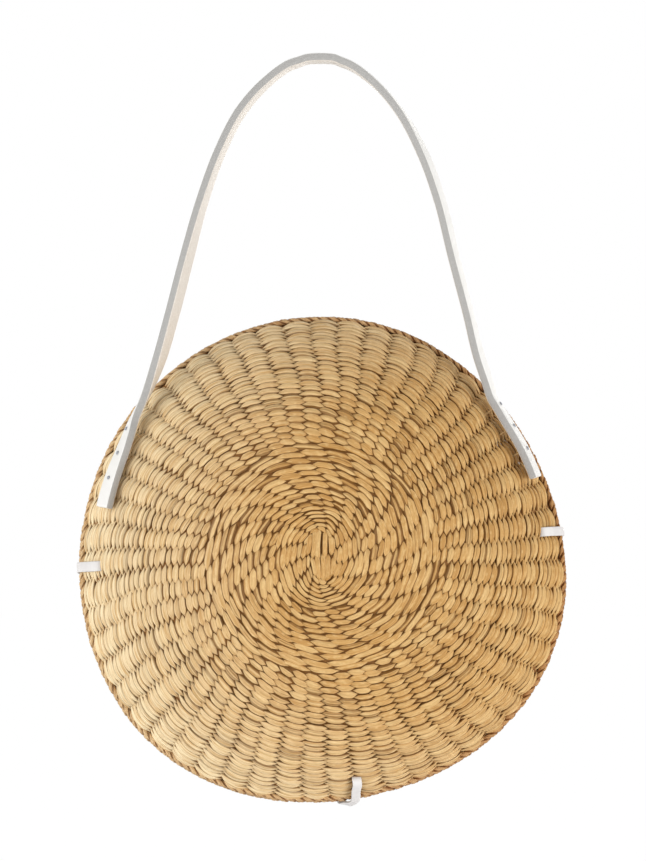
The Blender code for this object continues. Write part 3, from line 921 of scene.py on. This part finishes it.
def band_chains(node):
    """The four long edges of a square band, each as points in order from its first end."""
    bm = bmesh.new()
    bm.from_mesh(frame["nodes"][node].data)
    bmesh.ops.remove_doubles(bm, verts=bm.verts, dist=merge_distance)
    links = {}
    for edge in bm.edges:
        if len(edge.link_faces) == 2 and edge.calc_face_angle() > band_edge_angle:
            for vertex in edge.verts:
                links.setdefault(vertex, []).append(edge.other_vert(vertex))
    corners = [vertex for vertex, others in links.items() if len(others) == 3]
    first = corners[0]
    sides = [other for other in links[first] if len(links[other]) == 3]
    shared = [vertex for vertex in links[sides[0]] if vertex in links[sides[1]]]
    opposite = next(vertex for vertex in shared if vertex is not first and vertex in corners)
    chains = []
    for corner in (first, sides[0], opposite, sides[1]):
        chain = [corner, next(other for other in links[corner] if len(links[other]) == 2)]
        while len(links[chain[-1]]) == 2:
            chain.append(next(other for other in links[chain[-1]] if other is not chain[-2]))
        chains.append(np.array([vertex.co for vertex in chain]))
    bm.free()
    return chains


def band_sections(node):
    """Centres, half-width vectors and half-thickness vectors along a band."""
    a, b, c, d = band_chains(node)
    centre = (a + b + c + d) / 4
    first = (b + c - a - d) / 4
    second = (c + d - a - b) / 4
    if np.linalg.norm(first[len(first) // 2]) < np.linalg.norm(second[len(second) // 2]):
        first, second = second, first
    return centre, first, second


def refine(values, times):
    """Catmull-Rom points between the rows of an array."""
    padded = np.concatenate([[2 * values[0] - values[1]], values, [2 * values[-1] - values[-2]]])
    rows = []
    for k in range(1, len(values)):
        p0, p1, p2, p3 = padded[k - 1:k + 3]
        for j in range(times):
            s = j / times
            bend = 2 * p0 - 5 * p1 + 4 * p2 - p3
            turn = 3 * p1 - p0 - 3 * p2 + p3
            rows.append(0.5 * (2 * p1 + (p2 - p0) * s + bend * s * s + turn * s ** 3))
    rows.append(values[-1])
    return np.array(rows)


def rounded_outline(round_width, round_thickness):
    """Points (across, outward) of a band's section, from -1 to 1, with rounded arrises."""
    points = []
    for sign_x, sign_y, start in ((1, 1, 0), (-1, 1, 90), (-1, -1, 180), (1, -1, 270)):
        for k in range(band_corner_steps + 1):
            angle = math.radians(start + 90 * k / band_corner_steps)
            x = sign_x * (1 - round_width) + round_width * math.cos(angle)
            y = sign_y * (1 - round_thickness) + round_thickness * math.sin(angle)
            points.append((x, y))
        if sign_x == sign_y:
            for k in range(1, band_face_steps):
                points.append((sign_x * (1 - round_width) * (1 - 2 * k / band_face_steps), sign_y))
    return points


def make_band(name, centre, wide, thick, material, round_size, times, end_rounding):
    """A band with rounded arrises. Half vectors give its section at each place."""
    centre = refine(centre, times)
    wide = refine(wide, times)
    thick = refine(thick, times)
    half_width = np.linalg.norm(wide[len(wide) // 2])
    half_thickness = np.linalg.norm(thick[len(thick) // 2])
    outline = rounded_outline(round_size / half_width, round_size / half_thickness)
    steps = np.linalg.norm(np.diff(centre, axis=0), axis=1)
    run = np.concatenate([[0], np.cumsum(steps)])
    clear = band_end_clearance * end_rounding
    inner = [k for k in range(len(run)) if clear < run[k] < run[-1] - clear]
    last = len(run) - 1
    ahead = (centre[1] - centre[0]) / steps[0]
    behind = (centre[-1] - centre[-2]) / steps[-1]
    # Each station is a place, the row that gives its section, and how far that is drawn in
    ends = [
        (share * end_rounding, end_rounding * (1 - math.sqrt(1 - (1 - share) ** 2)))
        for share in band_end_shares
    ]
    stations = [(centre[0] + ahead * advance, 0, inset) for advance, inset in ends]
    stations += [(centre[k], k, 0.0) for k in inner]
    stations += [(centre[-1] - behind * advance, last, inset) for advance, inset in reversed(ends)]
    points = []
    for place, k, inset in stations:
        half_wide = wide[k] * (1 - inset / half_width)
        half_thick = thick[k] * (1 - inset / half_thickness)
        points.extend(place + half_wide * across + half_thick * outward for across, outward in outline)
    places = [(across, outward, 0) for across, outward in outline] * len(stations)
    faces = tube_faces(len(stations), len(outline))
    faces.append(tuple(range(len(outline)))[::-1])
    faces.append(tuple(range(len(points) - len(outline), len(points))))
    piece = mesh_piece(name, points, faces, material, {"place": np.array(places)})
    fix_normals(piece)
    return piece


def fix_normals(piece):
    bm = bmesh.new()
    bm.from_mesh(piece.data)
    bmesh.ops.recalc_face_normals(bm, faces=bm.faces)
    bm.to_mesh(piece.data)
    bm.free()


def make_strap():
    centre, wide, thick = band_sections("strap")
    crown = int(np.argmax(centre[:, 2]))
    if thick[crown][2] < 0:
        thick = -thick
    strap = make_band("leather_strap", centre, wide, thick, leather, *strap_finish)
    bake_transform(strap)
    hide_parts("strap")


def knot(name, centre, wide, along, material):
    """A small overhand knot, drawn as a closed trefoil of lace."""
    across = unit(wide)
    up = np.cross(along, across)
    t = 2 * np.pi * np.arange(knot_steps) / knot_steps
    trefoil = (np.sin(t) + 2 * np.sin(2 * t), np.cos(t) - 2 * np.cos(2 * t), -knot_rise * np.sin(3 * t))
    line = centre + knot_size * sum(np.outer(*pair) for pair in zip(trefoil, (across, along, up)))
    tangent = unit(np.roll(line, -1, axis=0) - np.roll(line, 1, axis=0))
    outward = square_to(tangent, line - centre)
    side_way = np.cross(tangent, outward)
    angle = 2 * np.pi * np.arange(knot_sides) / knot_sides
    rise = outward[:, None] * np.cos(angle)[:, None] * knot_half_width * knot_flattening
    points = line[:, None] + rise + side_way[:, None] * np.sin(angle)[:, None] * knot_half_width
    section = np.stack([np.sin(angle) * knot_side_share, np.cos(angle), 0 * angle], axis=-1)
    faces = tube_faces(knot_steps, knot_sides, closed=True)
    attributes = {"place": np.tile(section, (knot_steps, 1))}
    piece = mesh_piece(name, points.reshape(-1, 3), faces, material, attributes)
    fix_normals(piece)
    return piece


def smooth_path(stations, step):
    """Rows of numbers along a smooth curve. The first three numbers of a station are its place."""
    stations = np.array(stations)
    gaps = np.linalg.norm(np.diff(stations[:, :3], axis=0), axis=1)
    slopes = np.diff(stations, axis=0) / gaps[:, None]
    before = gaps[:-1, None]
    after = gaps[1:, None]
    inner = (slopes[:-1] * after + slopes[1:] * before) / (before + after)
    changes = np.concatenate([slopes[:1], inner, slopes[-1:]])
    rows = []
    for k, gap in enumerate(gaps):
        count = max(1, round(gap / step))
        share = np.arange(count)[:, None] / count
        cube = share ** 3
        square = share ** 2
        value = stations[k] * (2 * cube - 3 * square + 1) + stations[k + 1] * (3 * square - 2 * cube)
        value = value + changes[k] * gap * (cube - 2 * square + share)
        rows.append(value + changes[k + 1] * gap * (cube - square))
    rows.append(stations[-1:])
    return np.concatenate(rows)


def lace_stations(hole_angle, rim_angle, seam_angle, side, slack, twist, hole_radius):
    """Places and outward directions from the seam over one rim, through the wall and inward."""
    y_axis = np.array([0.0, 1.0, 0.0])
    lift = seat_gap + lace_thickness / 2

    def out_at(degrees):
        return np.array([math.cos(math.radians(degrees)), 0, math.sin(math.radians(degrees))])

    def on_shell(radius, lift):
        out = out_at(np.interp(radius, (hole_radius, border_radius), (hole_angle, rim_angle)))
        return surface(radius * out[0], radius * out[2], lift, side)

    def normal_at(radius):
        slope = float(slope_at(radius))
        return rim_out * math.sin(slope) + side * y_axis * math.cos(slope)

    seam_out = out_at(seam_angle)
    rim_out = out_at(rim_angle)
    hole_slope = float(slope_at(hole_radius))
    to_rim = out_at(hole_angle) * math.cos(hole_slope) - side * y_axis * math.sin(hole_slope)
    over_hole = on_shell(hole_radius, lift) + to_rim * lace_turn
    half_way = (hole_radius + border_radius) / 2
    rows = [
        (seam_out * (rope_reach + lift + slack), unit(seam_out - twist * y_axis)),
        (on_shell(border_radius, lift + slack), unit(normal_at(border_radius) + rim_out)),
        (on_shell(half_way, lift + seat_gap), normal_at(half_way)),
        (over_hole, unit(2 * normal_at(hole_radius) - to_rim)),
    ]
    for depth in (0, shell_wall, shell_wall + lace_spare / 2, shell_wall + lace_spare):
        rows.append((on_shell(hole_radius, -depth), -to_rim))
    return [np.concatenate(row) for row in rows]


def make_lace(node):
    angles, slack, twist, width, hole_radius = laces[node]
    front_hole, front_rim, seam_angle, back_rim, back_hole = angles
    stations = lace_stations(back_hole, back_rim, seam_angle, back, slack, twist, lace_hole_radius)[::-1]
    seam_number = len(stations) - 1
    stations += lace_stations(front_hole, front_rim, seam_angle, front, slack, twist, hole_radius)[1:]
    path = smooth_path(stations, lace_step)
    centre = to_world(path[:, :3])
    along = unit(np.gradient(centre, axis=0))
    outward = square_to(along, path[:, 3:] @ lean_array.T)
    wide = np.cross(along, outward) * width / 2
    thick = outward * lace_thickness / 2
    lace = make_band(f"{node}_leather", centre, wide, thick, lace_leather, *lace_finish)
    seam = to_world(stations[seam_number][:3])
    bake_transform(lace)
    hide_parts(node)
    for side, k, step in ((back, 0, 1), (front, -1, -1)):
        away = unit(centre[k] - centre[k + step])
        middle = centre[k] + away * knot_reach
        piece = knot(f"{node}_knot_{half_names[side]}", middle, wide[k], away, lace_leather)
        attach(piece, f"{half_names[side]}_half")


def make_backing(node):
    centre, wide, thick = band_sections(node)
    piece = make_band(f"{node}_leather", centre, wide, thick, leather, *backing_finish)
    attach(piece, "front_half")
    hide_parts(node)


def make_rivet(node):
    """A turned rivet on the axis of its CAD solid, with a domed head and a rounded burr."""
    solid = np.array([vertex.co for vertex in frame["nodes"][node].data.vertices])
    middle = (solid.min(axis=0) + solid.max(axis=0)) / 2
    axis = np.linalg.svd(solid - middle, full_matrices=False)[2][0]
    axis = axis * -np.sign(axis[1])
    middle = solid.mean(axis=0)
    along = (solid - middle) @ axis
    away = np.linalg.norm(solid - middle - along[:, None] * axis, axis=1)
    top = along.max()
    bottom = along.min()
    head = away[along > top - rivet_head_height].max()
    burr = away[along < bottom + rivet_burr_height].max()
    profile = []
    for k in range(1, rivet_dome_steps + 1):
        turn = math.pi / 2 * k / rivet_dome_steps
        profile.append((top - rivet_head_height * (1 - math.cos(turn)), head * math.sin(turn), 0))
    # Height, radius and share of straw colour along the shank and the burr
    under_head = top - rivet_head_height
    burr_top = bottom + rivet_burr_height
    profile += [
        (under_head, rivet_shank_radius, 0),
        (under_head - rivet_bright_share * rivet_head_height, rivet_shank_radius, 1),
        (burr_top + rivet_shank_radius, rivet_shank_radius, 1),
        (burr_top, rivet_shank_radius, 1),
        (burr_top, burr * rivet_burr_top_share, 0),
        (burr_top - rivet_burr_height / 3, burr, 0),
        (bottom + rivet_burr_height / 3, burr, 0),
        (bottom, burr * rivet_burr_foot_share, 0),
    ]
    first = unit(np.cross(axis, (0, 0, 1)))
    second = np.cross(axis, first)
    angle = 2 * np.pi * np.arange(rivet_sides) / rivet_sides
    round_way = np.cos(angle)[:, None] * first + np.sin(angle)[:, None] * second
    points = [[middle + axis * top]]
    points += [middle + axis * height + round_way * radius for height, radius, _ in profile]
    points.append([middle + axis * bottom])
    points = np.concatenate(points)
    shank = np.concatenate([[0], np.repeat([row[2] for row in profile], rivet_sides), [0]])
    faces = faced_outward(points, spindle_faces(len(profile) + 1, rivet_sides))
    piece = mesh_piece(f"{node}_turned", points, faces, metal, {"shank": shank})
    piece.data.set_sharp_from_angle(angle=rivet_crease_angle)
    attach(piece, "front_half")
    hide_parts(node)


# Stage

def area_light(name, place, size, watts, tint):
    data = bpy.data.lights.new(name, "AREA")
    data.shape = "DISK"
    data.size = size
    data.energy = watts
    data.color = tint
    lamp = add_object(name, data)
    lamp.location = place
    target = Vector((0, 0, bag_centre.z + lamp_target_rise))
    lamp.rotation_euler = (target - lamp.location).to_track_quat("-Z", "Y").to_euler()


def make_camera():
    """The sensor's size spans the longer side of the picture, its height."""
    data = bpy.data.cameras.new("photo_camera")
    data.sensor_width = sensor_size
    data.lens = sensor_size * camera_distance / (photo_height_px * metres_per_px)
    data.clip_end = camera_reach
    camera = add_object("photo_camera", data)
    x = bag_centre.x + (photo_width_px / 2 - bag_centre_px[0]) * metres_per_px
    z = bag_centre.z + (bag_centre_px[1] - photo_height_px / 2) * metres_per_px
    camera.location = (x, -camera_distance, z)
    camera.rotation_euler = (math.radians(90), 0, 0)
    bpy.context.scene.camera = camera


def make_world():
    world = bpy.data.worlds.new("studio")
    bpy.context.scene.world = world
    nodes = Nodes(world)
    light = nodes.mix(nodes.seen_directly(), world_light, white)
    nodes.put(nodes.tree.nodes["Background"].inputs["Color"], light)


def make_floor():
    """A pale floor that glows where it is seen directly, and still shows the object's shadow."""
    mesh = bpy.data.meshes.new("floor")
    half = floor_size / 2
    corners = [(x * half, y * half, floor_height) for x, y in ((-1, -1), (1, -1), (1, 1), (-1, 1))]
    mesh.from_pydata(corners, [], [(0, 1, 2, 3)])
    floor = add_object("floor", mesh)
    nodes = Nodes(bpy.data.materials.new("Floor"))
    mesh.materials.append(nodes.finish(floor_colour, 0.9))
    glow = nodes.add("ShaderNodeEmission", {"Color": white, "Strength": floor_glow})
    factor = nodes.math("MULTIPLY", nodes.seen_directly(), floor_glow_share)
    shaders = {0: factor, 1: nodes.shader.outputs[0], 2: glow.outputs[0]}
    mix = nodes.add("ShaderNodeMixShader", shaders)
    nodes.put(nodes.tree.nodes["Material Output"].inputs["Surface"], mix.outputs[0])


def make_stage():
    make_camera()
    make_world()
    make_floor()
    for lamp in lamps:
        area_light(*lamp)
    bpy.context.scene.view_settings.view_transform = "Standard"


for half_side in (front, back):
    make_half(half_side)
make_strap()
for lace_node in laces:
    make_lace(lace_node)
for end_name in ("left", "right"):
    make_backing(f"strap_backing_{end_name}")
    for rivet_number in (1, 2, 3):
        make_rivet(f"strap_rivet_{end_name}_{rivet_number}")
make_stage()
